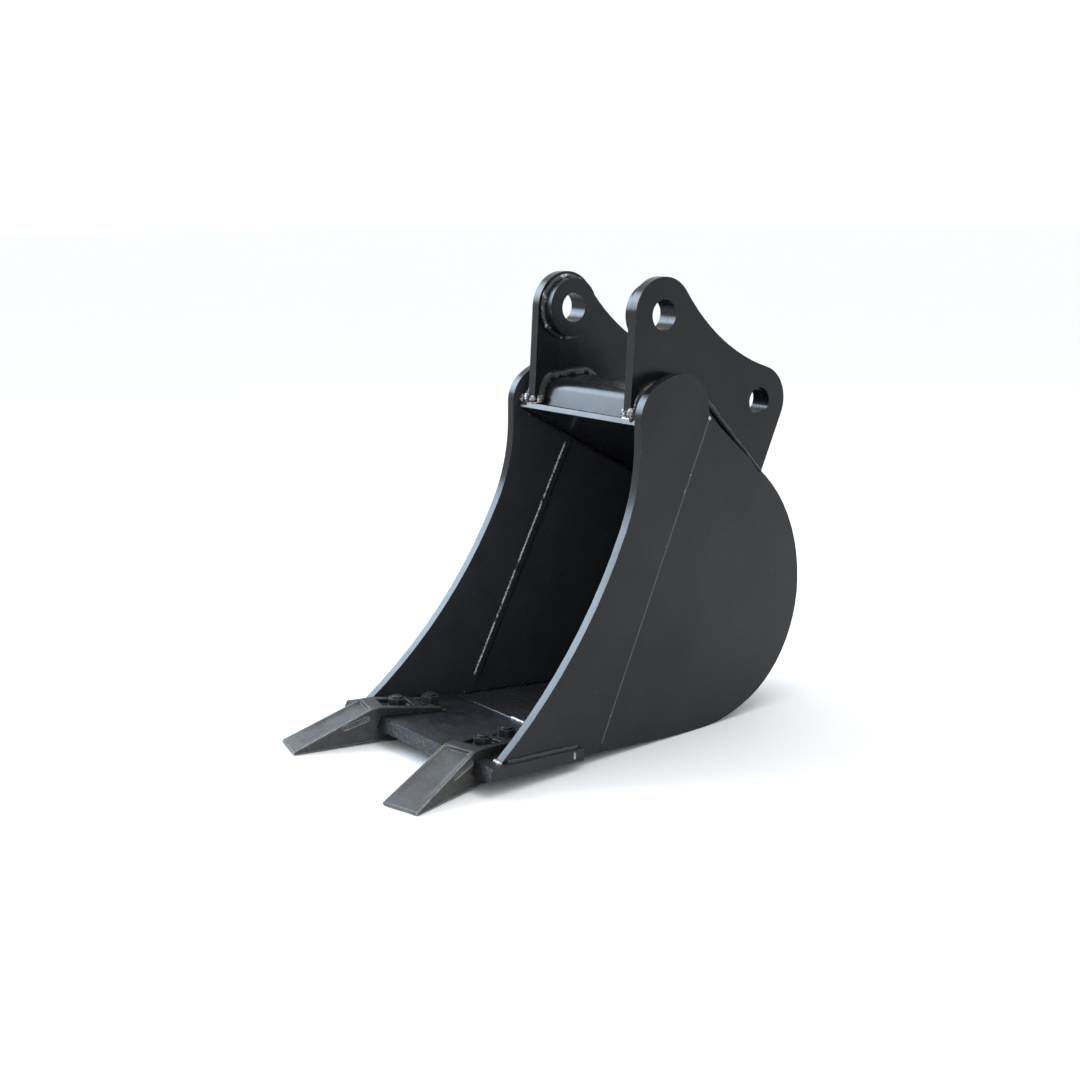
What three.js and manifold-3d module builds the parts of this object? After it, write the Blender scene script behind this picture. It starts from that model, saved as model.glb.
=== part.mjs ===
// Narrow excavator trenching bucket with two bolted corner teeth.
// Millimetres, +Z up, -Y towards the mouth. Side outlines are drawn as (y, z) with y = 0 under the
// front pin; the finished group is moved so that its plan centre is the origin and it stands on z = 0.
import * as THREE from 'three';
import { mergeVertices } from 'three/addons/utils/BufferGeometryUtils.js';
import Module from 'manifold-3d';

const wasm = await Module();
wasm.setup();

const GAP = 0.3;                       // clearance between touching pieces
const rad = (deg) => deg * Math.PI / 180;

// ---- driving dimensions --------------------------------------------------------------------
const PIN_FRONT = { y: 0, z: 557, r: 20 };
const PIN_REAR = { y: 176.5, z: 433.5, r: 18.5 };
const LOBE_FRONT_R = 48.5;             // ear radius round the front pin
const LOBE_REAR_R = 47.5;
const EAR_SADDLE_R = 290;              // concave top edge between the two lobes
const EAR_OUT = 106.5, EAR_T = 13.5;
const BOSS_R = 40, BOSS_T = 16;

const HALF_WIDTH = 139.3;              // outer face of a side plate at y = 0, z = 0
const TOE_IN = 0.0632;                 // sides close in towards the heel, mm per mm
const LEAN_IN = 0.0088;                // and slightly towards the top
const CUTTER_T = 13, PANEL_T = 10, SHELL_T = 8, COVER_T = 8;
const SHELL_INSET = 1.5;               // side plates stand this proud of the rolled shell

const FLOOR_DEG = 3.3;                 // floor and lip rise towards the mouth
const LIP_T = 16, LIP_REAR_Y = -172, LIP_FRONT_Y = -327, LIP_RAKE = 7, LIP_PROUD = 9;
const MOUTH_TOP = [-66.5, 427.5];      // where the mouth's edge turns back into the top lobe

const HEEL = [-5.6, 1.66];             // where the sloping floor runs into the heel
const BACK_R = 207, KNUCKLE_R = 42;    // rolled back, and the tighter bend under the ears
const TOP_HEADING = 151.8;             // the shell's straight run up to the mouth's top edge
const SHELL_TIP_Y = -56.5, EAR_FOOT_Y = -56, EAR_BACK = [180.5, 327];
const COVER_FOOT_Y = -46, COVER_TAIL = 22;
const SEAM_TOP = [59.5, 423], SEAM_FOOT = [-139, 11];

const TOOTH = {
  x: 107, y: -322, splay: 14,          // middle of the plateau, and how far the tooth points outwards
  reach: 113, tipW: 56, shankW: 49, plateauH: 48, tipH: 4.5, rear: 92, foot: 101,
  jaw: 35, arch: 3,                    // reach of the jaw under the lip, and hollow of the underside
};
const DISH = [[4.5, 1.6], [6.5, 3.2], [9.5, 4.4]];   // rim left beside each step of the dished face, and depth
const BOLT_AT = [-38, -85];            // along the tooth, behind the plateau
const POCKET_FLOOR = 4.5;              // strap left under a nut, measured from the top of the lip
const BOLT_R = 7, NUT_AF = 22, NUT_H = 9, BOLT_END = 19.5, WASHER_R = 12.5, WASHER_T = 2.5;

const STEEL_BLACK = 0x2b2c2e, CAST_GREY = 0x8a8782, HARDWARE = 0x4a4c50;

// ---- outlines ------------------------------------------------------------------------------
// Follows straight runs and tangent arcs from a start point; positive turns go left.
function trace(start, heading, moves, step = 6) {
  const pts = [new THREE.Vector2(...start)];
  let [y, z] = start, a = rad(heading);
  for (const [kind, size, turn] of moves) {
    if (kind === 'line') {
      y += size * Math.cos(a);
      z += size * Math.sin(a);
      pts.push(new THREE.Vector2(y, z));
      continue;
    }
    const side = Math.sign(turn), n = Math.max(2, Math.ceil(Math.abs(turn) / step));
    const cy = y - side * size * Math.sin(a), cz = z + side * size * Math.cos(a);
    for (let i = 1; i <= n; i++) {
      const b = a + rad(turn) * i / n;
      pts.push(new THREE.Vector2(cy + side * size * Math.sin(b), cz - side * size * Math.cos(b)));
    }
    a += rad(turn);
    ({ x: y, y: z } = pts[pts.length - 1]);
  }
  return pts;
}

// Sheet of constant thickness lying to the left of a path.
function thicken(path, t) {
  const off = path.map((p, i) => {
    const a = path[Math.max(i - 1, 0)], b = path[Math.min(i + 1, path.length - 1)];
    const before = p.clone().sub(a).normalize(), after = b.clone().sub(p).normalize();
    const dir = before.clone().add(after).normalize();
    const stretch = (i === 0 || i === path.length - 1) ? 1 : 1 / Math.max(0.5, dir.dot(after));
    return new THREE.Vector2(p.x - dir.y * t * stretch, p.y + dir.x * t * stretch);
  });
  return [...path, ...off.reverse()];
}

const floorSlope = Math.tan(rad(FLOOR_DEG));
const floorBottom = (y) => HEEL[1] - (y - HEEL[0]) * floorSlope;
const lipTop = (y) => floorBottom(y) + LIP_T;

// Outer contour of the body, from the back of the lip round the heel and up the back.
const HEEL_RUN = [
  ['line', (HEEL[0] - LIP_REAR_Y) / Math.cos(rad(FLOOR_DEG))],
  ['arc', 1000, FLOOR_DEG], ['arc', 235, 25], ['arc', 168, 65],
];
const contour = (inset, after) => trace(
  [LIP_REAR_Y + GAP, floorBottom(LIP_REAR_Y) + inset], -FLOOR_DEG,
  HEEL_RUN.map(([k, s, t]) => k === 'line' ? [k, s] : [k, s - inset, t]).concat(after(inset)));

const mouthEdge = () => trace(MOUTH_TOP, -90,
  [['line', 25.5], ['arc', 260, -25.5], ['arc', 690, -27.5]], 3);

const lobeEdge = () => trace(MOUTH_TOP, 90,
  [['arc', 45.7, -50], ['arc', 89, -40], ['arc', 52, -90], ['line', 5]]);

const seamPoint = (t, shift) => new THREE.Vector2(
  SEAM_TOP[0] + (SEAM_FOOT[0] - SEAM_TOP[0]) * t + shift, SEAM_TOP[1] + (SEAM_FOOT[1] - SEAM_TOP[1]) * t);

// ---- solids --------------------------------------------------------------------------------
const outerX = (y, z, inset = 0) => HALF_WIDTH - TOE_IN * y - LEAN_IN * z - inset;
const cutterInner = (y, z) => outerX(y, z, CUTTER_T);
const panelInner = (y, z) => outerX(y, z, PANEL_T);

// Solid whose side view is `pts`, reaching in x from x0(y, z) to x1(y, z).
function slab(pts, x0, x1, holes = []) {
  const shape = new THREE.Shape(THREE.ShapeUtils.isClockWise(pts) ? [...pts].reverse() : pts);
  for (const h of holes) {
    const path = new THREE.Path();
    path.absarc(h.y, h.z, h.r, 0, 2 * Math.PI, true);
    shape.holes.push(path);
  }
  const geo = new THREE.ExtrudeGeometry(shape, { depth: 1, bevelEnabled: false, curveSegments: 36 });
  const p = geo.attributes.position;
  for (let i = 0; i < p.count; i++) {
    const y = p.getX(i), z = p.getY(i), w = p.getZ(i);
    p.setXYZ(i, x0(y, z) + (x1(y, z) - x0(y, z)) * w, y, z);
  }
  return geo;
}
const at = (x) => () => x;

// A slab on the right (side = 1) or its mirror image on the left (side = -1).
function sided(pts, side, near, far, holes) {
  return side > 0 ? slab(pts, near, far, holes)
    : slab(pts, (y, z) => -far(y, z), (y, z) => -near(y, z), holes);
}

function weld(geo) {
  const g = geo.clone();
  g.deleteAttribute('normal');
  g.deleteAttribute('uv');
  return mergeVertices(g, 1e-4);
}

function solid(geo) {
  const g = weld(geo);
  return new wasm.Manifold(new wasm.Mesh({
    numProp: 3,
    vertProperties: new Float32Array(g.attributes.position.array),
    triVerts: new Uint32Array(g.index.array),
  }));
}

function fromSolid(body) {
  const mesh = body.getMesh();
  const g = new THREE.BufferGeometry();
  g.setAttribute('position', new THREE.BufferAttribute(new Float32Array(mesh.vertProperties), 3));
  g.setIndex(new THREE.BufferAttribute(new Uint32Array(mesh.triVerts), 1));
  return g;
}

function mirrored(geo) {
  const g = weld(geo);
  g.scale(-1, 1, 1);
  const index = g.index.array;
  for (let i = 0; i < index.length; i += 3) [index[i], index[i + 1]] = [index[i + 1], index[i]];
  return g;
}

// ---- body ----------------------------------------------------------------------------------
function shellPath(inset) {
  const path = contour(inset, (d) => [['arc', BACK_R - d, 28], ['arc', KNUCKLE_R - d, TOP_HEADING - 118]]);
  const end = path[path.length - 1];
  const run = (end.x - SHELL_TIP_Y) / -Math.cos(rad(TOP_HEADING));
  path.push(new THREE.Vector2(end.x + run * Math.cos(rad(TOP_HEADING)),
    end.y + run * Math.sin(rad(TOP_HEADING))));
  return path;
}

const shellPts = shellPath(SHELL_INSET);
// z of the shell's outer surface on its straight top run
function shellTop(y) {
  const a = shellPts[shellPts.length - 1];
  return a.y + (y - a.x) * Math.tan(rad(TOP_HEADING));
}

// Trims a body that fits between the thin rear panels so that it also fits between the thicker cutters.
function clearOfCutters(geo) {
  const ahead = [
    new THREE.Vector2(-400, -50), seamPoint(1.15, 1), seamPoint(-0.3, 1), new THREE.Vector2(-400, 600),
  ];
  let body = solid(geo);
  for (const side of [-1, 1]) {
    body = body.subtract(solid(sided(ahead, side,
      (y, z) => cutterInner(y, z) - GAP, (y, z) => cutterInner(y, z) + 20)));
  }
  return fromSolid(body);
}

function shell() {
  const width = (y, z) => panelInner(y, z) - GAP;
  return clearOfCutters(slab(thicken(shellPts, SHELL_T), (y, z) => -width(y, z), width));
}

function sideCutter(side) {
  const mouth = mouthEdge();
  const toe = mouth[mouth.length - 1];
  const back = [
    new THREE.Vector2(toe.x, lipTop(toe.x) + GAP),
    new THREE.Vector2(LIP_REAR_Y + 2 * GAP, lipTop(LIP_REAR_Y) + GAP),
    new THREE.Vector2(LIP_REAR_Y + 2 * GAP, floorBottom(LIP_REAR_Y)),
    seamPoint(1, -GAP / 2), seamPoint(0, -GAP / 2),
  ];
  const pts = [...lobeEdge().reverse(), ...mouth.slice(1), ...back];
  return sided(pts, side, cutterInner, outerX);
}

function sidePanel(side) {
  const edge = contour(0, () => [['arc', BACK_R, 50]]).filter((p) => p.x > SEAM_FOOT[0] + 8);
  const pts = [
    seamPoint(1, GAP / 2), ...edge,
    new THREE.Vector2(SEAM_TOP[0] + 1, SEAM_TOP[1] + 2), seamPoint(0, GAP / 2),
  ];
  return sided(pts, side, panelInner, outerX);
}

function ear(side) {
  const { y: ya, z: za } = PIN_FRONT, { y: yb, z: zb } = PIN_REAR;
  // centre of the saddle arc, tangent to both lobes from outside
  const ab = Math.hypot(yb - ya, zb - za);
  const ra = LOBE_FRONT_R + EAR_SADDLE_R, rb = LOBE_REAR_R + EAR_SADDLE_R;
  const base = Math.atan2(zb - za, yb - ya);
  const atA = base + Math.acos((ab * ab + ra * ra - rb * rb) / (2 * ab * ra));
  const cy = ya + ra * Math.cos(atA), cz = za + ra * Math.sin(atA);
  const atB = Math.atan2(cz - zb, cy - yb);
  const arc = (y, z, r, a0, a1, n) => Array.from({ length: n + 1 }, (_, i) => {
    const a = a0 + (a1 - a0) * i / n;
    return new THREE.Vector2(y + r * Math.cos(a), z + r * Math.sin(a));
  });
  const pts = [
    new THREE.Vector2(EAR_FOOT_Y, shellTop(EAR_FOOT_Y) + GAP),
    ...arc(ya, za, LOBE_FRONT_R, rad(176), atA, 24),
    ...arc(cy, cz, EAR_SADDLE_R, atA + Math.PI, atB + Math.PI, 12).slice(1, -1),
    ...arc(yb, zb, LOBE_REAR_R, atB, rad(-23), 18),
    new THREE.Vector2(...EAR_BACK),
    new THREE.Vector2(EAR_BACK[0], shellTop(EAR_BACK[0]) + 3 * GAP),
  ];
  return sided(pts, side, at(EAR_OUT - EAR_T), at(EAR_OUT), [PIN_FRONT, PIN_REAR]);
}

function boss(side, pin) {
  const ring = Array.from({ length: 56 }, (_, i) => {
    const a = 2 * Math.PI * i / 56;
    return new THREE.Vector2(pin.y + BOSS_R * Math.cos(a), pin.z + BOSS_R * Math.sin(a));
  });
  const inner = EAR_OUT - EAR_T - GAP;
  return sided(ring, side, at(inner - BOSS_T), at(inner), [pin]);
}

// Bent plate that closes the box behind the mouth's top edge: leaning front, flat crown, long back slope.
function coverPath() {
  return trace([COVER_FOOT_Y, shellTop(COVER_FOOT_Y) + GAP], 72, [['line', 26], ['arc', 20, -70],
    ['line', 50], ['arc', 16, -46.5], ['line', 170], ['arc', 120, -10], ['line', COVER_TAIL]]).reverse();
}

function centreCover() {
  const w = EAR_OUT - EAR_T - GAP;
  return slab(thicken(coverPath(), COVER_T), at(-w), at(w));
}

function sideCover(side) {
  return clearOfCutters(sided(thicken(coverPath(), COVER_T), side,
    at(EAR_OUT + GAP), (y, z) => panelInner(y, z) - GAP));
}

// ---- cutting lip ---------------------------------------------------------------------------
const toothAxis = (side, s, w = 0) => {
  const a = rad(TOOTH.splay);
  return new THREE.Vector2(side * (TOOTH.x + s * Math.sin(a) + w * Math.cos(a)),
    TOOTH.y - s * Math.cos(a) + w * Math.sin(a));
};

function lipBlock(grow) {
  const side = [
    new THREE.Vector2(LIP_FRONT_Y - grow, floorBottom(LIP_FRONT_Y) - grow),
    new THREE.Vector2(LIP_REAR_Y + grow, floorBottom(LIP_REAR_Y) - grow),
    new THREE.Vector2(LIP_REAR_Y + grow, lipTop(LIP_REAR_Y) + grow),
    new THREE.Vector2(LIP_FRONT_Y + LIP_RAKE - grow, lipTop(LIP_FRONT_Y + LIP_RAKE) + grow),
  ];
  const w = (y, z) => outerX(y, z) + LIP_PROUD + grow;
  return solid(slab(side, (y, z) => -w(y, z), w));
}

// Upright round body on a tooth's centre line, tilted with the lip so that it stands square to it.
function stud(side, s, r, z0, z1, facets = 24) {
  const g = new THREE.CylinderGeometry(r, r, z1 - z0, facets);
  g.rotateX(Math.PI / 2);
  g.translate(0, 0, (z0 + z1) / 2);
  const c = toothAxis(side, s);
  g.rotateX(-rad(FLOOR_DEG));
  g.translate(c.x, c.y, lipTop(c.y));
  return g;
}

function lip() {
  let body = lipBlock(0);
  for (const side of [-1, 1]) {
    for (const s of BOLT_AT) body = body.subtract(solid(stud(side, s, BOLT_R + 0.5, -30, 10)));
  }
  return fromSolid(body);
}

// ---- teeth ---------------------------------------------------------------------------------
// Tooth frame: s forward along the tooth, w outwards across it, h above the ground.
function toothPrism(pts, halfWidth) {
  const geo = slab(pts, (s) => -halfWidth(s), (s) => halfWidth(s));
  const p = geo.attributes.position;
  for (let i = 0; i < p.count; i++) {
    const w = p.getX(i), s = p.getY(i), h = p.getZ(i);
    const c = toothAxis(1, s, w);
    p.setXYZ(i, c.x, c.y, h);
  }
  // slab() runs s along y; laying the tooth down reverses its handedness
  const g = weld(geo), index = g.index.array;
  for (let i = 0; i < index.length; i += 3) [index[i], index[i + 1]] = [index[i + 1], index[i]];
  return solid(g);
}

function tooth(side) {
  const T = TOOTH, V = (s, h) => new THREE.Vector2(s, h);
  const slope = (T.plateauH - T.tipH) / (T.reach - 4);
  const face = (s) => T.plateauH - slope * (s - 4);
  const topRear = 38;
  const width = (s) => (s > 0 ? T.shankW + (T.tipW - T.shankW) * s / T.reach : T.shankW) / 2;
  let body = toothPrism([
    V(T.reach - 2, 0), V(T.reach, 1.8), V(T.reach - 1, T.tipH), V(4, T.plateauH), V(-9, T.plateauH + 0.5),
    V(-T.rear, topRear), V(-T.rear - 1.5, topRear - 3), V(-T.rear - 1.5, 33.5), V(-T.foot, 33.5),
    V(-T.foot, 22), V(-T.jaw, 22), V(-T.jaw, 3), V(3 - T.jaw, 0), V(10 - T.jaw, 0), V(-8, T.arch),
    V(10, T.arch), V(62, 2.2),
  ], width);
  // dished face between two rims, running out towards the tip
  for (const [rim, depth] of DISH) {
    const hollow = [V(6, T.plateauH + 6), V(6, face(6) - depth), V(60, face(60) - 0.85 * depth),
      V(102, face(102)), V(102, T.plateauH)];
    body = body.subtract(toothPrism(hollow, (s) => width(s) - rim));
  }
  // pockets round the two nuts
  const floorAt = (s) => lipTop(toothAxis(1, s).y) + POCKET_FLOOR;
  for (const [s0, s1] of [[-56, -14], [-T.foot - 5, -69]]) {
    body = body.subtract(toothPrism([V(s1, 70), V(s0, 70), V(s0, floorAt(s0)), V(s1, floorAt(s1))], at(15)));
  }
  // finger grooves under the rims on both flanks
  for (const f of [-1, 1]) {
    const groove = toothPrism([V(9, 38), V(9, 33), V(43, 24), V(46, 26), V(43, 28.5)], at(3));
    const move = toothAxis(1, 0, f * (T.shankW / 2 + 1.2)).sub(toothAxis(1, 0, 0));
    body = body.subtract(groove.translate([move.x, move.y, 0]));
  }
  body = body.subtract(lipBlock(GAP));
  for (const s of BOLT_AT) body = body.subtract(solid(stud(1, s, BOLT_R + 0.5, -30, 40)));
  // notch in the jaw round the head of the front bolt
  body = body.subtract(solid(stud(1, BOLT_AT[0], NUT_AF / 2 + 4, -LIP_T - 40, -LIP_T)));
  const geo = fromSolid(body.decompose().sort((a, b) => b.volume() - a.volume())[0]);
  return side > 0 ? geo : mirrored(geo);
}

function bolt(side, s) {
  const shank = solid(stud(side, s, BOLT_R, -LIP_T - 2, BOLT_END, 20));
  const head = solid(stud(side, s, NUT_AF / 2 / Math.cos(Math.PI / 6), -LIP_T - GAP - 9, -LIP_T - GAP, 6));
  return fromSolid(shank.add(head));
}

function ringAt(side, s, r, z0, z1, facets) {
  return fromSolid(solid(stud(side, s, r, z0, z1, facets)).subtract(
    solid(stud(side, s, BOLT_R + GAP, z0 - 2, z1 + 2))));
}

// ---- assembly ------------------------------------------------------------------------------
const group = new THREE.Group();

function add(name, geometry, color, roughness = 0.4, metalness = 0.5) {
  const material = new THREE.MeshStandardMaterial({ color, roughness, metalness });
  const mesh = new THREE.Mesh(weld(geometry), material);
  mesh.name = name;
  group.add(mesh);
}

add('shell_wrapper', shell(), STEEL_BLACK);
add('lip_plate', lip(), STEEL_BLACK);
add('torque_cover', centreCover(), STEEL_BLACK);
for (const [tag, side] of [['left', -1], ['right', 1]]) {
  add(`${tag}_side_cutter`, sideCutter(side), STEEL_BLACK);
  add(`${tag}_side_panel`, sidePanel(side), STEEL_BLACK);
  add(`${tag}_torque_cover_end`, sideCover(side), STEEL_BLACK);
  add(`${tag}_ear`, ear(side), STEEL_BLACK);
  add(`${tag}_front_boss`, boss(side, PIN_FRONT), STEEL_BLACK);
  add(`${tag}_rear_boss`, boss(side, PIN_REAR), STEEL_BLACK);
  add(`${tag}_tooth`, tooth(side), CAST_GREY, 0.55, 0.8);
  BOLT_AT.forEach((s, i) => {
    const n = i + 1, seat = POCKET_FLOOR + 2 * GAP;
    const nutR = NUT_AF / 2 / Math.cos(Math.PI / 6);
    add(`${tag}_tooth_bolt_${n}`, bolt(side, s), HARDWARE, 0.4, 0.9);
    add(`${tag}_tooth_washer_${n}`, ringAt(side, s, WASHER_R, seat, seat + WASHER_T, 32), HARDWARE, 0.4, 0.9);
    add(`${tag}_tooth_nut_${n}`,
      ringAt(side, s, nutR, seat + WASHER_T + GAP, seat + WASHER_T + GAP + NUT_H, 6), HARDWARE, 0.4, 0.9);
  });
}

const box = new THREE.Box3().setFromObject(group);
for (const mesh of group.children) {
  mesh.geometry.translate(0, -(box.min.y + box.max.y) / 2, -box.min.z);
}

export default group;
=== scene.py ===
import math

import bpy
import numpy as np
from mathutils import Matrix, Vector
from mathutils.bvhtree import BVHTree


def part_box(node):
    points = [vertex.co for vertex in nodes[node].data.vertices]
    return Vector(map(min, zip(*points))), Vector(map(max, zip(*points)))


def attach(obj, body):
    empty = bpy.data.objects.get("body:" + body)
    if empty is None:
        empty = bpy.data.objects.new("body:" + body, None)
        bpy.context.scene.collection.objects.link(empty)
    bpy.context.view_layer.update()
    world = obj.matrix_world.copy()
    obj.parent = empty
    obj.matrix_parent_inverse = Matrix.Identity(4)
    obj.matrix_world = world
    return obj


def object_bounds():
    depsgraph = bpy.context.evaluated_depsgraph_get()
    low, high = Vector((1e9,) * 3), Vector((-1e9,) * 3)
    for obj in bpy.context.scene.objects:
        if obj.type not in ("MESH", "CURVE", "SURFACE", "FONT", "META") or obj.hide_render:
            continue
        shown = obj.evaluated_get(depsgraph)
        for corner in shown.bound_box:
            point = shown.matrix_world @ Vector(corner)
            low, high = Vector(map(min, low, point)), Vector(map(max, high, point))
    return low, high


# Narrow digging bucket: satin black welded plate, cast corner teeth, blackened nuts and bolts.
# Metres, +Z up, -Y out of the mouth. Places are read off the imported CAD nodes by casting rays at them.

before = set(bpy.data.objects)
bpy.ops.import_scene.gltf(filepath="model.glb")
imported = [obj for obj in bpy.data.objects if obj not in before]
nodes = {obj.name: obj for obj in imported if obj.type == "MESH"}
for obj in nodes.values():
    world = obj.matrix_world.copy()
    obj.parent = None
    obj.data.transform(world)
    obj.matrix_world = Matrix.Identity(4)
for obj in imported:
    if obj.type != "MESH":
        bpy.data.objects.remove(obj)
cad_low, cad_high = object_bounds()
rng = np.random.default_rng(5)

MM = 0.001
SIDES = {"left": -1, "right": 1}
EDGE_ROUND = 0.9 * MM             # broken edge on cut plate
HARDWARE_ROUND = 0.5 * MM         # the same on nuts, washers and bolts
CAST_VOXEL = 0.9 * MM             # grain a casting is resampled at
BEAD_STEP = 0.8 * MM              # spacing of the rings that make up a weld bead
BEAD_FACETS = 12
BEAD_WANDER = 0.05                # drift of a bead's path and radius, in parts of its radius


# ---- reading the frame -----------------------------------------------------------------------
def tree_of(name):
    mesh = nodes[name].data
    return BVHTree.FromPolygons([v.co for v in mesh.vertices], [p.vertices for p in mesh.polygons])


TREES = {name: tree_of(name) for name in nodes}


def hit(name, origin, direction):
    """Where a ray first meets a CAD node."""
    point = TREES[name].ray_cast(Vector(origin), Vector(direction).normalized())[0]
    if point is None:
        raise RuntimeError(f"no surface of {name} seen from {tuple(origin)} along {tuple(direction)}")
    return point


def centre_of(name):
    low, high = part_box(name)
    return (low + high) / 2


# ---- materials -------------------------------------------------------------------------------
class Shader:
    """A material under construction: a Principled surface and short ways to add nodes to it."""

    def __init__(self, name, **surface):
        self.material = bpy.data.materials.new(name)
        self.material.use_nodes = True
        self.tree = self.material.node_tree
        self.surface = self.tree.nodes["Principled BSDF"]
        for socket, value in surface.items():
            self.surface.inputs[socket.replace("_", " ")].default_value = value
        self.where = self.tree.nodes.new("ShaderNodeTexCoord").outputs["Object"]

    def link(self, source, target):
        self.tree.links.new(source, target)

    def noise(self, scale, detail=4, rough=0.5, stretch=None):
        node = self.tree.nodes.new("ShaderNodeTexNoise")
        node.inputs["Scale"].default_value = scale
        node.inputs["Detail"].default_value = detail
        node.inputs["Roughness"].default_value = rough
        if stretch:
            mapping = self.tree.nodes.new("ShaderNodeMapping")
            mapping.inputs["Scale"].default_value = stretch
            self.link(self.where, mapping.inputs["Vector"])
            self.link(mapping.outputs["Vector"], node.inputs["Vector"])
        else:
            self.link(self.where, node.inputs["Vector"])
        return node.outputs["Fac"]

    def ramp(self, source, low, high, start=0.0, end=1.0):
        """Maps source from low..high to start..end, held beyond both ends."""
        node = self.tree.nodes.new("ShaderNodeMapRange")
        for socket, value in zip(("From Min", "From Max", "To Min", "To Max"), (low, high, start, end)):
            node.inputs[socket].default_value = value
        self.link(source, node.inputs["Value"])
        return node.outputs["Result"]

    def math(self, operation, a, b=None):
        node = self.tree.nodes.new("ShaderNodeMath")
        node.operation = operation
        for socket, value in zip(node.inputs, (a, b)):
            if value is None:
                continue
            if isinstance(value, (int, float)):
                socket.default_value = value
            else:
                self.link(value, socket)
        return node.outputs["Value"]

    def blend(self, factor, a, b):
        """Colour a where factor is 0, b where it is 1; a colour is three numbers or a socket."""
        node = self.tree.nodes.new("ShaderNodeMix")
        node.data_type = "RGBA"
        self.link(factor, node.inputs["Factor"])
        for socket, value in ((node.inputs[6], a), (node.inputs[7], b)):
            if isinstance(value, tuple):
                socket.default_value = (*value, 1)
            else:
                self.link(value, socket)
        return node.outputs[2]

    def edges(self, radius):
        """1 on sharp outer and inner edges, 0 on flat faces."""
        bevel = self.tree.nodes.new("ShaderNodeBevel")
        bevel.samples = 4
        bevel.inputs["Radius"].default_value = radius
        plain = self.tree.nodes.new("ShaderNodeNewGeometry")
        dot = self.tree.nodes.new("ShaderNodeVectorMath")
        dot.operation = "DOT_PRODUCT"
        self.link(bevel.outputs["Normal"], dot.inputs[0])
        self.link(plain.outputs["True Normal"], dot.inputs[1])
        return self.ramp(dot.outputs["Value"], 0.99, 0.80)

    def split(self, source, axis):
        node = self.tree.nodes.new("ShaderNodeSeparateXYZ")
        self.link(source, node.inputs["Vector"])
        return node.outputs[axis]

    def upward(self, low, high, start=0.0, end=1.0):
        """start where a face's normal has z of low or less, end where it has high or more."""
        plain = self.tree.nodes.new("ShaderNodeNewGeometry")
        return self.ramp(self.split(plain.outputs["Normal"], "Z"), low, high, start, end)

    def facing_bowl(self):
        """1 on faces that look towards the middle of the bowl."""
        plain = self.tree.nodes.new("ShaderNodeNewGeometry")
        away = self.tree.nodes.new("ShaderNodeVectorMath")
        away.operation = "SUBTRACT"
        away.inputs[0].default_value = BOWL
        self.link(self.where, away.inputs[1])
        dot = self.tree.nodes.new("ShaderNodeVectorMath")
        dot.operation = "DOT_PRODUCT"
        self.link(away.outputs["Vector"], dot.inputs[0])
        self.link(plain.outputs["Normal"], dot.inputs[1])
        return self.ramp(dot.outputs["Value"], 0.01, 0.03)

    def bump(self, *layers):
        """Each layer is (height socket, depth in metres); fine layers come first."""
        normal = None
        for height, depth in layers:
            node = self.tree.nodes.new("ShaderNodeBump")
            node.inputs["Distance"].default_value = depth
            self.link(height, node.inputs["Height"])
            if normal is not None:
                self.link(normal, node.inputs["Normal"])
            normal = node.outputs["Normal"]
        self.link(normal, self.surface.inputs["Normal"])

    def set(self, socket, source):
        self.link(source, self.surface.inputs[socket])


def black_paint(name, base, patch, gloss, inside=None, grit=0.035 * MM):
    """Sprayed black over mill plate: orange peel, drifted overspray, a film of dust, rubbed edges.

    inside is a greyer colour for faces that look into the bowl; those of them that look down stay black, a
    painted shade under the shell's top run. Faces that look down shine less, so that they don't mirror the
    pale floor.
    """
    s = Shader(name, IOR=1.5)
    drift = s.ramp(s.noise(7, 6, 0.62), 0.36, 0.68)
    speck = s.ramp(s.noise(620, 2), 0.62, 0.74)
    dust = s.math("MULTIPLY", s.upward(0.25, 0.95), s.ramp(s.noise(38, 7, 0.7), 0.42, 0.74, 0.05, 0.55))
    wear = s.math("MULTIPLY", s.edges(1.4 * MM), s.ramp(s.noise(95, 8, 0.7), 0.52, 0.64, 0.0, 0.6))
    scuff = s.math("MULTIPLY", s.ramp(s.noise(60, 5, 0.6, (1, 0.12, 1.6)), 0.64, 0.75, 0.0, 0.4), drift)
    colour = s.blend(drift, base, patch)
    if inside:
        # greyer on faces that look into the bowl, kept black where they look down: painted shade under the
        # shell's top run
        bowl_grey_and_painted_shade = s.math("MULTIPLY", s.facing_bowl(), s.ramp(s.noise(24, 6, 0.6), 0.30, 0.62, 0.75, 1.0))
        bowl_grey_and_painted_shade = s.math("MULTIPLY", bowl_grey_and_painted_shade, s.upward(-0.50, -0.10))
        colour = s.blend(bowl_grey_and_painted_shade, colour, inside)
    colour = s.blend(s.math("MULTIPLY", speck, 0.2), colour, (0.070, 0.072, 0.076))
    colour = s.blend(dust, colour, (0.034, 0.036, 0.039))
    colour = s.blend(scuff, colour, (0.032, 0.034, 0.038))
    s.set("Base Color", s.blend(wear, colour, (0.20, 0.21, 0.22)))
    s.set("Metallic", s.math("MULTIPLY", wear, 0.6))
    s.set("Specular IOR Level", s.upward(-0.35, 0.12, 0.07, 0.33))
    streaks = s.ramp(s.noise(16, 5, 0.6), 0.3, 0.7, gloss - 0.05, gloss + 0.08)
    rough = s.math("ADD", streaks, s.math("MULTIPLY", dust, 0.20))
    s.set("Roughness", s.math("ADD", rough, s.math("MULTIPLY", scuff, 0.15)))
    s.bump((s.noise(900, 2), 0.012 * MM), (s.noise(210, 3), grit), (s.noise(9, 2), 0.9 * MM))
    return s.material


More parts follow.
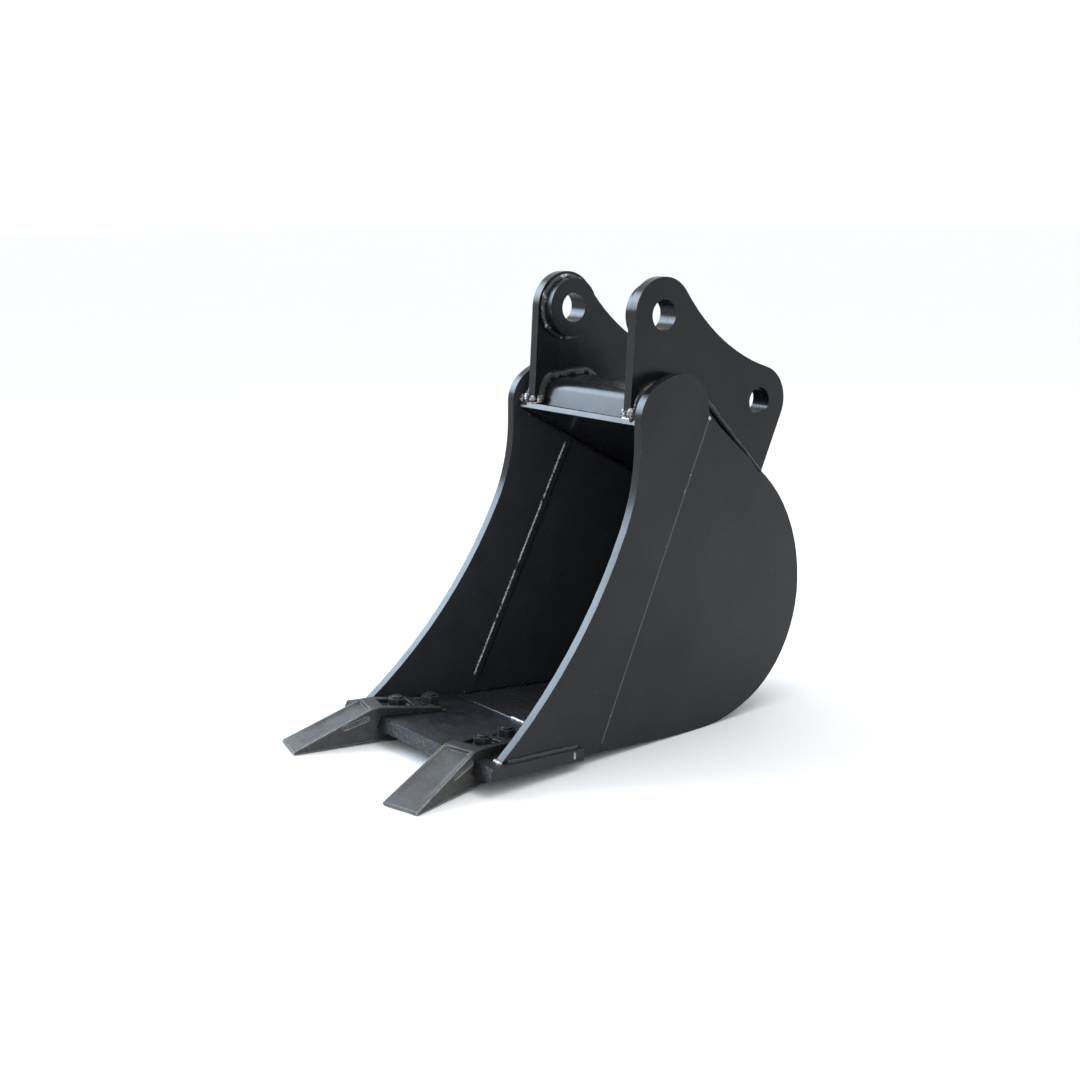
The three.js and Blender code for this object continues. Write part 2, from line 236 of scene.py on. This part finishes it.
def cast_steel():
    """Sand cast tooth: pitted grey blade with rubbed rims, still painted black on strap and flanks."""
    s = Shader("cast_steel", Specular_IOR_Level=0.4)
    blotch = s.ramp(s.noise(55, 8, 0.66), 0.34, 0.66)
    grain = s.ramp(s.noise(750, 3, 0.6), 0.38, 0.66)
    strap = s.ramp(s.split(s.where, "Y"), TOOTH_KNEE - 12 * MM, TOOTH_KNEE + 10 * MM)
    flank = s.upward(0.20, 0.62, 0.62, 0.0)
    strap = s.ramp(s.math("ADD", strap, s.math("MULTIPLY", s.noise(110, 6, 0.7), 0.7)), 0.30, 1.05)
    black = s.math("MAXIMUM", strap, s.math("MULTIPLY", flank, s.ramp(s.noise(48, 5), 0.3, 0.6, 0.6, 1.0)))
    rim = s.math("MULTIPLY", s.edges(3.0 * MM), s.ramp(s.noise(160, 5), 0.30, 0.60, 0.45, 1.0))
    rim = s.math("MULTIPLY", rim, s.ramp(strap, 0.2, 1.0, 1.0, 0.22))
    colour = s.blend(blotch, (0.036, 0.035, 0.035), (0.085, 0.083, 0.082))
    colour = s.blend(s.math("MULTIPLY", grain, 0.35), colour, (0.165, 0.160, 0.155))
    colour = s.blend(black, colour, (0.0125, 0.0125, 0.0130))
    s.set("Base Color", s.blend(rim, colour, (0.46, 0.47, 0.48)))
    s.set("Metallic", s.math("MULTIPLY", s.ramp(black, 0, 1, 1.0, 0.1), s.ramp(blotch, 0, 1, 0.25, 0.55)))
    s.set("Roughness", s.ramp(s.noise(120, 5), 0.3, 0.7, 0.36, 0.58))
    s.bump((s.noise(1300, 2), 0.06 * MM), (s.noise(420, 5, 0.65), 0.22 * MM), (s.noise(60, 4), 0.6 * MM))
    return s.material


def blackened_steel():
    """Nuts, washers and bolts: dark finish rubbed through to metal on the corners."""
    s = Shader("blackened_steel")
    grime = s.ramp(s.noise(190, 6, 0.65), 0.40, 0.66)
    rim = s.math("MULTIPLY", s.edges(1.2 * MM), s.ramp(s.noise(240, 4), 0.35, 0.60, 0.2, 0.9))
    colour = s.blend(grime, (0.050, 0.052, 0.058), (0.018, 0.018, 0.018))
    s.set("Base Color", s.blend(rim, colour, (0.34, 0.35, 0.37)))
    s.set("Metallic", s.ramp(rim, 0, 1, 0.55, 0.9))
    s.set("Roughness", s.ramp(s.noise(300, 4), 0.3, 0.7, 0.24, 0.46))
    s.bump((s.noise(900, 3, 0.6, (1, 1, 6)), 0.05 * MM), (s.noise(260, 3), 0.08 * MM))
    return s.material


def weld_metal(name, bare, tint, paint=(0.014, 0.014, 0.016), sheen=0.5):
    """Weld bead under thin paint; bare is the share of it left or rubbed bright, tint its burnt colour."""
    s = Shader(name, IOR=1.5, Specular_IOR_Level=sheen)
    cut = 0.72 - 0.44 * bare
    shown = s.ramp(s.noise(85, 6, 0.62), cut - 0.04, cut + 0.05)
    heat = s.ramp(s.noise(150, 4), 0.40, 0.62)
    metal = s.blend(heat, (0.48, 0.49, 0.50), tint)
    s.set("Base Color", s.blend(shown, paint, metal))
    s.set("Metallic", s.math("MULTIPLY", shown, 0.75))
    s.set("Roughness", s.ramp(s.noise(240, 4), 0.3, 0.7, 0.22, 0.42))
    s.bump((s.noise(1100, 3), 0.06 * MM), (s.noise(330, 4), 0.14 * MM))
    return s.material


# Landmarks the materials are laid out by.
# BOWL is inside the bowl, in sight of every wall; TOOTH_KNEE is the y where a blade turns into its strap.
BOWL = Vector((0, centre_of("right_front_boss").y + 10 * MM, 200 * MM))
TOOTH_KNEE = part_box("right_tooth")[0].y + 112 * MM

BLACK, OVERSPRAY = (0.0045, 0.0049, 0.0058), (0.0100, 0.0105, 0.0118)
PAINT = black_paint("black_paint", BLACK, OVERSPRAY, 0.21)
PAINT_PLATE = black_paint("black_paint_plate", BLACK, OVERSPRAY, 0.21, inside=(0.034, 0.036, 0.041))
PAINT_LIP = black_paint("black_paint_lip", (0.0065, 0.0075, 0.0092), (0.0180, 0.0198, 0.0230), 0.34,
                        grit=0.70 * MM)
CAST = cast_steel()
BLACKENED = blackened_steel()
WELD_PAINTED = weld_metal("weld_painted", 0.0, (0.10, 0.09, 0.08))
WELD_BRIGHT = weld_metal("weld_bright", 0.62, (0.36, 0.35, 0.34))
WELD_GROUND = weld_metal("weld_ground", 0.16, (0.15, 0.14, 0.13), paint=(0.036, 0.035, 0.034))
# Weld paint drawn darker and duller than the rest: painted shade, beside the inner wall seam and in the
# crease at the cover's foot.
WELD_PAINTED_SHADE = weld_metal("weld_painted_shade", 0.05, (0.10, 0.09, 0.08), paint=(0.007, 0.007, 0.008), sheen=0.14)
WELD_SPATTER = weld_metal("weld_spatter", 0.46, (0.21, 0.145, 0.10), paint=(0.030, 0.027, 0.025))
WELD_BURNT = weld_metal("weld_burnt", 0.34, (0.16, 0.115, 0.085))


# ---- carried-over CAD nodes ------------------------------------------------------------------
def smoothing_group():
    """Geometry nodes that shade everything smooth except edges sharper than about 34 degrees."""
    group = bpy.data.node_groups.new("shade_by_angle", "GeometryNodeTree")
    group.interface.new_socket("Geometry", in_out="INPUT", socket_type="NodeSocketGeometry")
    group.interface.new_socket("Geometry", in_out="OUTPUT", socket_type="NodeSocketGeometry")
    add, link = group.nodes.new, group.links.new
    start, end = add("NodeGroupInput"), add("NodeGroupOutput")
    faces, edges = add("GeometryNodeSetShadeSmooth"), add("GeometryNodeSetShadeSmooth")
    faces.domain, edges.domain = "FACE", "EDGE"
    faces.inputs["Shade Smooth"].default_value = True
    angle = add("GeometryNodeInputMeshEdgeAngle")
    flat = add("FunctionNodeCompare")
    flat.operation = "LESS_THAN"
    flat.inputs["B"].default_value = math.radians(34)
    link(start.outputs[0], faces.inputs["Geometry"])
    link(faces.outputs[0], edges.inputs["Geometry"])
    link(angle.outputs["Unsigned Angle"], flat.inputs["A"])
    link(flat.outputs["Result"], edges.inputs["Shade Smooth"])
    link(edges.outputs[0], end.inputs[0])
    return group


SMOOTH = smoothing_group()


def coated(name, material):
    """A CAD node with its material and its doubled vertices joined."""
    obj = nodes[name]
    obj.data.materials.clear()
    obj.data.materials.append(material)
    join = obj.modifiers.new("join", "WELD")
    join.merge_threshold = 0.01 * MM
    return obj


def dress(name, material, rounding=EDGE_ROUND):
    """Gives a CAD node its material and breaks its edges."""
    obj = coated(name, material)
    flats = obj.modifiers.new("flats", "DECIMATE")
    flats.decimate_type = "DISSOLVE"
    flats.angle_limit = math.radians(0.6)
    bevel = obj.modifiers.new("edges", "BEVEL")
    bevel.width = rounding
    bevel.segments = 2
    bevel.limit_method = "ANGLE"
    bevel.angle_limit = math.radians(32)
    obj.modifiers.new("shade", "NODES").node_group = SMOOTH
    weighted = obj.modifiers.new("weighted", "WEIGHTED_NORMAL")
    weighted.keep_sharp = True


def dress_casting(name):
    """A casting has no sharp edges: its solid is resampled finely and relaxed."""
    obj = coated(name, CAST)
    skin = obj.modifiers.new("skin", "REMESH")
    skin.mode = "VOXEL"
    skin.voxel_size = CAST_VOXEL
    skin.use_smooth_shade = True
    relax = obj.modifiers.new("relax", "SMOOTH")
    relax.factor = 0.5
    relax.iterations = 3


for part in nodes:
    if part.endswith("_tooth"):
        dress_casting(part)
    elif "_bolt_" in part or "_washer_" in part or "_nut_" in part:
        dress(part, BLACKENED, HARDWARE_ROUND)
    elif part == "lip_plate":
        dress(part, PAINT_LIP)
    elif part == "shell_wrapper" or part.endswith(("_side_cutter", "_side_panel")):
        dress(part, PAINT_PLATE)
    else:
        dress(part, PAINT)


# ---- weld beads ------------------------------------------------------------------------------
def mesh_piece(name, verts, faces, material):
    """A visible piece of its own, fixed to the bucket's body."""
    mesh = bpy.data.meshes.new(name)
    mesh.from_pydata(verts, [], faces)
    mesh.materials.append(material)
    mesh.shade_smooth()
    obj = bpy.data.objects.new(name, mesh)
    bpy.context.scene.collection.objects.link(obj)
    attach(obj, "root")


def resample(points, step):
    """Points at an even spacing along a polyline."""
    pts = np.array([tuple(p) for p in points], float)
    lengths = np.linalg.norm(np.diff(pts, axis=0), axis=1)
    along = np.concatenate([[0], np.cumsum(lengths)])
    at = np.linspace(0, along[-1], max(4, int(along[-1] / step) + 1))
    return np.stack([np.interp(at, along, pts[:, i]) for i in range(3)], 1), at


def wander(count, reach, rate):
    """Smooth random drift, one value per ring."""
    knots = max(3, int(count * rate))
    return np.interp(np.linspace(0, knots - 1, count), range(knots), rng.normal(0, reach, knots))


def bead_rings(points, radius, ripple=0.16, pitch=2.6 * MM, closed=False):
    """Vertices and faces of one weld run: overlapping ripples, slightly uneven, tapering at its ends."""
    pts, at = resample(points, BEAD_STEP)
    n = len(pts)
    if closed:
        pts, at, n = pts[:-1], at[:-1], n - 1
        tangent = np.roll(pts, -1, 0) - np.roll(pts, 1, 0)
    else:
        tangent = np.gradient(pts, axis=0)
    tangent /= np.linalg.norm(tangent, axis=1)[:, None]
    across = np.cross(tangent, (1.0, 0.13, 0.21))
    across /= np.linalg.norm(across, axis=1)[:, None]
    up = np.cross(tangent, across)
    pts = pts + across * wander(n, radius * BEAD_WANDER, 0.12)[:, None]
    pts = pts + up * wander(n, radius * BEAD_WANDER, 0.12)[:, None]
    size = radius * (1 + wander(n, BEAD_WANDER, 0.10))
    if not closed:
        ends = np.clip(np.minimum(np.arange(n), np.arange(n)[::-1]) * BEAD_STEP / radius, 0, 1)
        size = size * np.sqrt(np.clip(1 - (1 - ends) ** 2, 0.02, 1))
    turn = np.arange(BEAD_FACETS) * 2 * math.pi / BEAD_FACETS
    phase = at[:, None] / pitch + 0.28 * np.cos(turn * 2)[None, :]
    wave = 1 - ripple * (phase % 1.0) ** 1.6
    ring = size[:, None] * wave
    verts = pts[:, None, :] + ring[:, :, None] * (
        np.cos(turn)[None, :, None] * across[:, None, :] + np.sin(turn)[None, :, None] * up[:, None, :])
    verts = verts.reshape(-1, 3)
    faces = []
    for i in range(n if closed else n - 1):
        a, b = i * BEAD_FACETS, (i + 1) % n * BEAD_FACETS
        for k in range(BEAD_FACETS):
            m = (k + 1) % BEAD_FACETS
            faces.append((a + k, a + m, b + m, b + k))
    if not closed:
        faces.append(tuple(range(BEAD_FACETS))[::-1])
        faces.append(tuple(range((n - 1) * BEAD_FACETS, n * BEAD_FACETS)))
    return verts.tolist(), faces


def bead(name, runs, radius, material=WELD_PAINTED, **shape):
    """One piece holding one or more weld runs; each run is a list of points or (points, radius)."""
    verts, faces = [], []
    for run in runs:
        points, size = run if isinstance(run, tuple) else (run, radius)
        v, f = bead_rings(points, size, **shape)
        faces += [tuple(i + len(verts) for i in face) for face in f]
        verts += v
    mesh_piece(name, verts, faces, material)


pin_front, pin_rear = centre_of("right_front_boss"), centre_of("right_rear_boss")
ear_inner, ear_outer = (corner.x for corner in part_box("right_ear"))
cover_low, cover_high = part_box("torque_cover")
lip_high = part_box("lip_plate")[1]
DOWN = Vector((0, 0, -1))


def first_wall(side, y, z, start, way):
    """First side plate met at y, z from x = start towards way; the cutter is tried before the panel."""
    tag = "right" if side > 0 else "left"
    for plate in ("side_cutter", "side_panel"):
        point = TREES[f"{tag}_{plate}"].ray_cast(Vector((start, y, z)), Vector((way, 0, 0)))[0]
        if point is not None:
            return point
    raise RuntimeError(f"no side wall at {y:.4f}, {z:.4f}")


def wall_in(side, y, z):
    """Inner face of a side wall at y, z."""
    return first_wall(side, y, z, 0, side)


def wall_out(side, y, z):
    """Outer face of a side wall at y, z."""
    return first_wall(side, y, z, side, -side)


def seam_y(tag, z):
    """Where the cutter's back edge meets the panel, at height z."""
    corners = [v.co for v in nodes[f"{tag}_side_panel"].data.vertices]
    foot, top = min(corners, key=lambda p: p.y), max(corners, key=lambda p: p.z)
    return foot.y + (top.y - foot.y) * (z - foot.z) / (top.z - foot.z)


def shell_sweep(x, start, end, count, outside=False):
    """Points on the rolled shell and the way out through them, at angles from +Y turning upwards."""
    for angle in np.radians(np.linspace(start, end, count)):
        out = Vector((0, math.cos(angle), math.sin(angle)))
        middle = Vector((x, BOWL.y, BOWL.z))
        ray = (middle + out * 1.5, -out) if outside else (middle, out)
        point = TREES["shell_wrapper"].ray_cast(*ray)[0]
        if point is not None:
            yield point, out


def side_welds(tag, side):
    """Long beads of one wall: its seam inside, its corner with the shell, and that corner outside."""
    ceiling_drop = 192 * MM       # the inner seam beads start this far below the front pin
    heights = np.linspace(pin_front.z - ceiling_drop, lip_high.z + 8 * MM, 24)
    # the back bead is drawn dark and dull, a painted shade beside the inner seam
    for name, ahead, radius, material in (("wall_seam_weld", 9 * MM, 2.2 * MM, WELD_BRIGHT),
                                          ("wall_back_shade_weld", -5 * MM, 0.9 * MM, WELD_PAINTED_SHADE)):
        run = [wall_in(side, seam_y(tag, z) - ahead, z) for z in heights]
        bead(f"{tag}_{name}", [run], radius, material, ripple=0.42, pitch=5.5 * MM)

    # corner between wall and rolled shell
    corner = []
    for point, out in shell_sweep(side * 0.10, -132, 104, 90):
        inner = point - out * 2 * MM
        corner.append(wall_in(side, inner.y, inner.z))
    bead(f"{tag}_corner_weld", [corner], 3.2 * MM, ripple=0.10)

    # outer corner where the shell's edge stops short of the side plate
    outer = []
    for point, out in shell_sweep(side * 0.10, -130, 64, 90, outside=True):
        inner = point - out * 4 * MM
        sunk = point - out * 1.4 * MM
        outer.append((wall_in(side, inner.y, inner.z).x + side * 0.3 * MM, sunk.y, sunk.z))
    bead(f"{tag}_shell_edge_weld", [outer], 1.9 * MM)


def boss_welds(tag, side):
    """Rings of weld round both bosses of one ear."""
    low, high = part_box(f"{tag}_front_boss")
    radius = (high.z - low.z) / 2 + 0.6 * MM
    turn = np.linspace(0, 2 * math.pi, 90)
    rings = [[(side * ear_inner, pin.y + radius * math.cos(a), pin.z + radius * math.sin(a)) for a in turn]
             for pin in (pin_front, pin_rear)]
    bead(f"{tag}_boss_weld", rings, 4.6 * MM, WELD_BURNT, closed=True, ripple=0.08, pitch=5 * MM)


# COVER_CORE is under the cover's crown, in sight of its whole outside.
COVER_CORE = Vector((0, (cover_low.y + cover_high.y) / 2 - 30 * MM, cover_high.z - 75 * MM))


def cover_profile(node, x):
    """Points on the outside of a torque cover piece, from its front foot over the crown to its back."""
    for angle in np.radians(np.linspace(176, -22, 110)):
        out = Vector((0, math.cos(angle), math.sin(angle)))
        point = TREES[node].ray_cast(Vector((x, COVER_CORE.y, COVER_CORE.z)) + out, -out)[0]
        if point is not None:
            yield point


def cover_welds(tag, side):
    """Heavy fillets over the crown: inside each ear, outside it up to the lobe, and along the wall."""
    wall = side * abs(wall_in(side, cover_low.y + 20 * MM, cover_high.z - 20 * MM).x)
    end = f"{tag}_torque_cover_end"
    corners = (("torque_cover", ear_inner - 6 * MM, side * (ear_inner + 1 * MM), 9.5 * MM, 1.5 * MM),
               (end, ear_outer + 6 * MM, side * (ear_outer + 4 * MM), 9.0 * MM, 4.5 * MM),
               (end, ear_outer + 9 * MM, wall, 3.4 * MM, 0.5 * MM))
    for n, (node, probe, x, radius, proud) in enumerate(corners):
        run = []
        for p in cover_profile(node, side * probe):
            out = Vector((0, p.y - COVER_CORE.y, p.z - COVER_CORE.z)).normalized() * proud
            run.append((x, p.y + out.y, p.z + out.z))
        bead(f"{tag}_cover_fillet_{n + 1}", [run], radius, PAINT, ripple=0.04, pitch=6 * MM)


def shell_top(x, y):
    """Upper surface of the shell's straight run under the ears."""
    return hit("shell_wrapper", (x, y, cad_high.z + 1), DOWN)


def foot_welds():
    """Beads across the shell along the front foot and the rear end of the torque cover."""
    foot, back = cover_low.y - 0.5 * MM, cover_high.y - 1 * MM
    spans = [(-ear_inner, ear_inner)]
    spans += [(side * ear_outer, side * (ear_outer + 5 * MM)) for side in SIDES.values()]
    across = [np.linspace(start, end, 12) for start, end in spans]
    front = [[shell_top(x, foot) for x in row] for row in across]
    # dark, dull weld paint: a painted shade in the crease along the cover's foot
    bead("cover_foot_weld", front, 4.2 * MM, WELD_PAINTED_SHADE, ripple=0.34, pitch=6 * MM)
    rise = hit("torque_cover", (0, back - 0.5 * MM, 1), DOWN).z - shell_top(0, back).z
    lift = Vector((0, -2 * MM, rise * 0.5))
    rear = [[shell_top(x, back) + lift for x in row] for row in across]
    bead("cover_tail_weld", rear, max(5.5 * MM, rise * 0.52), WELD_PAINTED, ripple=0.08, pitch=5 * MM)


def ear_foot_blobs(tag, side):
    """Heavy stop and start lumps where each ear's front edge lands on the shell."""
    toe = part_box(f"{tag}_ear")[0].y
    lumps = []
    # place across, place back from the ear's toe, height and radius of each lump, in mm
    for base_x, ahead, back, rise, radius in ((ear_inner, -4, 4, 10, 6.0), (ear_inner, 5, -2, 5, 5.0),
                                              (ear_outer, 0, -2, 8, 6.0), (ear_outer, 8, 4, 14, 6.6),
                                              (ear_outer, 17, 1, 6, 5.0)):
        base = shell_top(side * (base_x + ahead * MM), toe + back * MM + 2 * MM)
        lean = Vector((side * rng.uniform(-3, 3) * MM, rng.uniform(0, 4) * MM, rise * MM + 6 * MM))
        lumps.append(([base, base + lean * 0.5, base + lean], radius * MM))
    bead(f"{tag}_ear_foot_blobs", lumps, 4 * MM, WELD_SPATTER, ripple=0.30, pitch=4 * MM)
    xs = np.linspace(ear_inner - 3 * MM, ear_outer + 8 * MM, 8)
    bead(f"{tag}_ear_toe_weld", [[shell_top(side * x, toe + 1 * MM) for x in xs]], 3.0 * MM, WELD_BRIGHT)


def lip_top(x, y):
    """Upper surface of the lip, its height measured in the middle, clear of bolt holes."""
    return Vector((x, y, hit("lip_plate", (0, y, 1), DOWN).z))


def lip_welds():
    """Bead across the floor behind the lip, with the stretch where its last run was left bright."""
    rear = lip_high.y - 0.8 * MM
    inside = abs(wall_in(1, rear - 4 * MM, lip_high.z).x)
    sunk = Vector((0, 0, -0.4 * MM))
    bead("floor_seam_weld", [[lip_top(x, rear) + sunk for x in (-inside, 0, inside)]], 2.4 * MM)
    bead("floor_seam_stop", [[lip_top(x, rear) - sunk for x in (8 * MM, 38 * MM)]], 2.8 * MM, WELD_BRIGHT)


def lip_side_welds(tag, side):
    """Fillet where the cutter stands on the lip outside, the lump at its toe and a tack on the lip's end."""
    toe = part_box(f"{tag}_side_cutter")[0].y
    ledge = []
    for y in np.linspace(toe + 18 * MM, lip_high.y - 3 * MM, 20):
        base = lip_top(0, y)
        base.x = wall_out(side, y, base.z + 8 * MM).x
        ledge.append(base)
    first = ledge[0].x
    ledge.insert(0, lip_top(first, toe + 7 * MM))
    bead(f"{tag}_lip_ledge_weld", [ledge], 4.6 * MM)
    nose = [lip_top(first - side * t * 13 * MM, toe - 1 * MM) for t in (-0.15, 0.3, 0.7, 1.1)]
    bead(f"{tag}_cutter_toe_weld", [nose], 4.2 * MM, WELD_BRIGHT, ripple=0.2)
    y = lip_high.y - 16 * MM
    low, high = hit("lip_plate", (0, y, -1), (0, 0, 1)).z, lip_top(0, y).z
    x = hit("lip_plate", (side, y, (low + high) / 2), (-side, 0, 0)).x
    tack = [(x, y, low + 4 * MM), (x, y + 0.5 * MM, high - 1 * MM)]
    bead(f"{tag}_lip_tack", [tack], 1.7 * MM, WELD_BRIGHT)


def seam_welds(tag, side):
    """Ground-back butt weld between cutter and panel outside, with the tack left at its top."""
    top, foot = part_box(f"{tag}_side_panel")[1].z - 3 * MM, lip_high.z - 14 * MM
    run = []
    for z in np.linspace(top, foot, 30):
        y = seam_y(tag, z)
        run.append((wall_out(side, y - 3 * MM, z).x - side * 0.9 * MM, y, z))
    bead(f"{tag}_seam_weld", [run], 1.7 * MM, WELD_GROUND, ripple=0.10, pitch=3 * MM)
    x, y, z = run[0]
    tack = [(x, y, z - 3 * MM), (x, y + 1 * MM, z + 3 * MM)]
    bead(f"{tag}_seam_tack", [tack], 2.6 * MM, WELD_BRIGHT)


def panel_top_weld(tag, side):
    """Three passes filling the step between the panel's upper edge and the end of the torque cover."""
    edges = []
    for y in np.linspace(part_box(f"{tag}_side_cutter")[1].y - 3 * MM, cover_high.y - 4 * MM, 28):
        crown = hit(f"{tag}_torque_cover_end", (side * (ear_outer + 3 * MM), y, 1), DOWN).z
        for x in np.arange(ear_outer + 4 * MM, ear_outer + 26 * MM, 0.7 * MM):
            top = TREES[f"{tag}_side_panel"].ray_cast(Vector((side * x, y, 1)), DOWN)[0]
            if top is not None and top.z > crown - 25 * MM:
                edges.append((side * x, y, top.z, max(crown - top.z, 0)))
                break
    passes = [[(x - side * lift * 4 * MM, y, z + lift * step + (0.5 + 0.5 * lift) * MM)
               for x, y, z, step in edges] for lift in (0, 0.5, 1)]
    bead(f"{tag}_panel_top_weld", passes, 4.0 * MM, PAINT, ripple=0.05, pitch=6 * MM)


for tag, side in SIDES.items():
    side_welds(tag, side)
for tag, side in SIDES.items():
    boss_welds(tag, side)
    panel_top_weld(tag, side)
    cover_welds(tag, side)
    ear_foot_blobs(tag, side)
    lip_side_welds(tag, side)
    seam_welds(tag, side)
foot_welds()
lip_welds()


# ---- size, stage, light and camera -----------------------------------------------------------
def floor():
    """Pale studio floor, far larger than the view."""
    half = 30.0
    corners = [(-half, -half, 0), (half, -half, 0), (half, half, 0), (-half, half, 0)]
    mesh = bpy.data.meshes.new("floor")
    mesh.from_pydata(corners, [], [(0, 1, 2, 3)])
    s = Shader("studio_floor", Roughness=0.75)
    s.set("Base Color", s.blend(s.noise(2, 3), (0.94, 0.94, 0.94), (0.96, 0.96, 0.96)))
    mesh.materials.append(s.material)
    obj = bpy.data.objects.new("floor", mesh)
    bpy.context.scene.collection.objects.link(obj)
    obj.location.z = cad_low.z - 0.2 * MM


def softbox(name, place, target, width, height, power, colour, spread=math.pi):
    """Rectangular lamp at place, turned towards target."""
    light = bpy.data.lights.new(name, "AREA")
    light.shape = "RECTANGLE"
    light.size, light.size_y, light.energy = width, height, power
    light.color = colour
    light.spread = spread
    obj = bpy.data.objects.new(name, light)
    bpy.context.scene.collection.objects.link(obj)
    obj.location = place
    obj.rotation_mode = "QUATERNION"
    obj.rotation_quaternion = (Vector(target) - Vector(place)).to_track_quat("-Z", "Y")


def sky():
    """Even pale light from all round."""
    world = bpy.data.worlds.new("sky")
    world.use_nodes = True
    background = world.node_tree.nodes["Background"]
    background.inputs["Color"].default_value = (0.96, 0.98, 1.0, 1)
    background.inputs["Strength"].default_value = 1.06
    bpy.context.scene.world = world


CAMERA = {"place": (1.60731, -1.27210, 0.70265), "azimuth": 52.157, "elevation": 12.251, "lens": 52.457}


def camera():
    """Camera standing off the open corner of the bucket, to the right of the mouth."""
    data = bpy.data.cameras.new("camera")
    data.lens, data.sensor_width = CAMERA["lens"], 36.0
    data.clip_start, data.clip_end = 0.05, 100
    obj = bpy.data.objects.new("camera", data)
    bpy.context.scene.collection.objects.link(obj)
    a, e = math.radians(CAMERA["azimuth"]), math.radians(CAMERA["elevation"])
    look = Vector((-math.sin(a) * math.cos(e), math.cos(a) * math.cos(e), -math.sin(e)))
    obj.location = CAMERA["place"]
    obj.rotation_mode = "QUATERNION"
    obj.rotation_quaternion = look.to_track_quat("-Z", "Y")
    bpy.context.scene.camera = obj


floor()
sky()
softbox("open_sky", (-2.9, -1.6, 2.1), (0, 0, 0.35), 3.6, 2.0, 43, (0.66, 0.82, 1.0), math.radians(70))
softbox("overhead", (0.4, 0.3, 3.2), (0, 0, 0.2), 2.0, 2.0, 22, (1, 1, 1))
camera()
bpy.context.scene.view_settings.view_transform = "Standard"
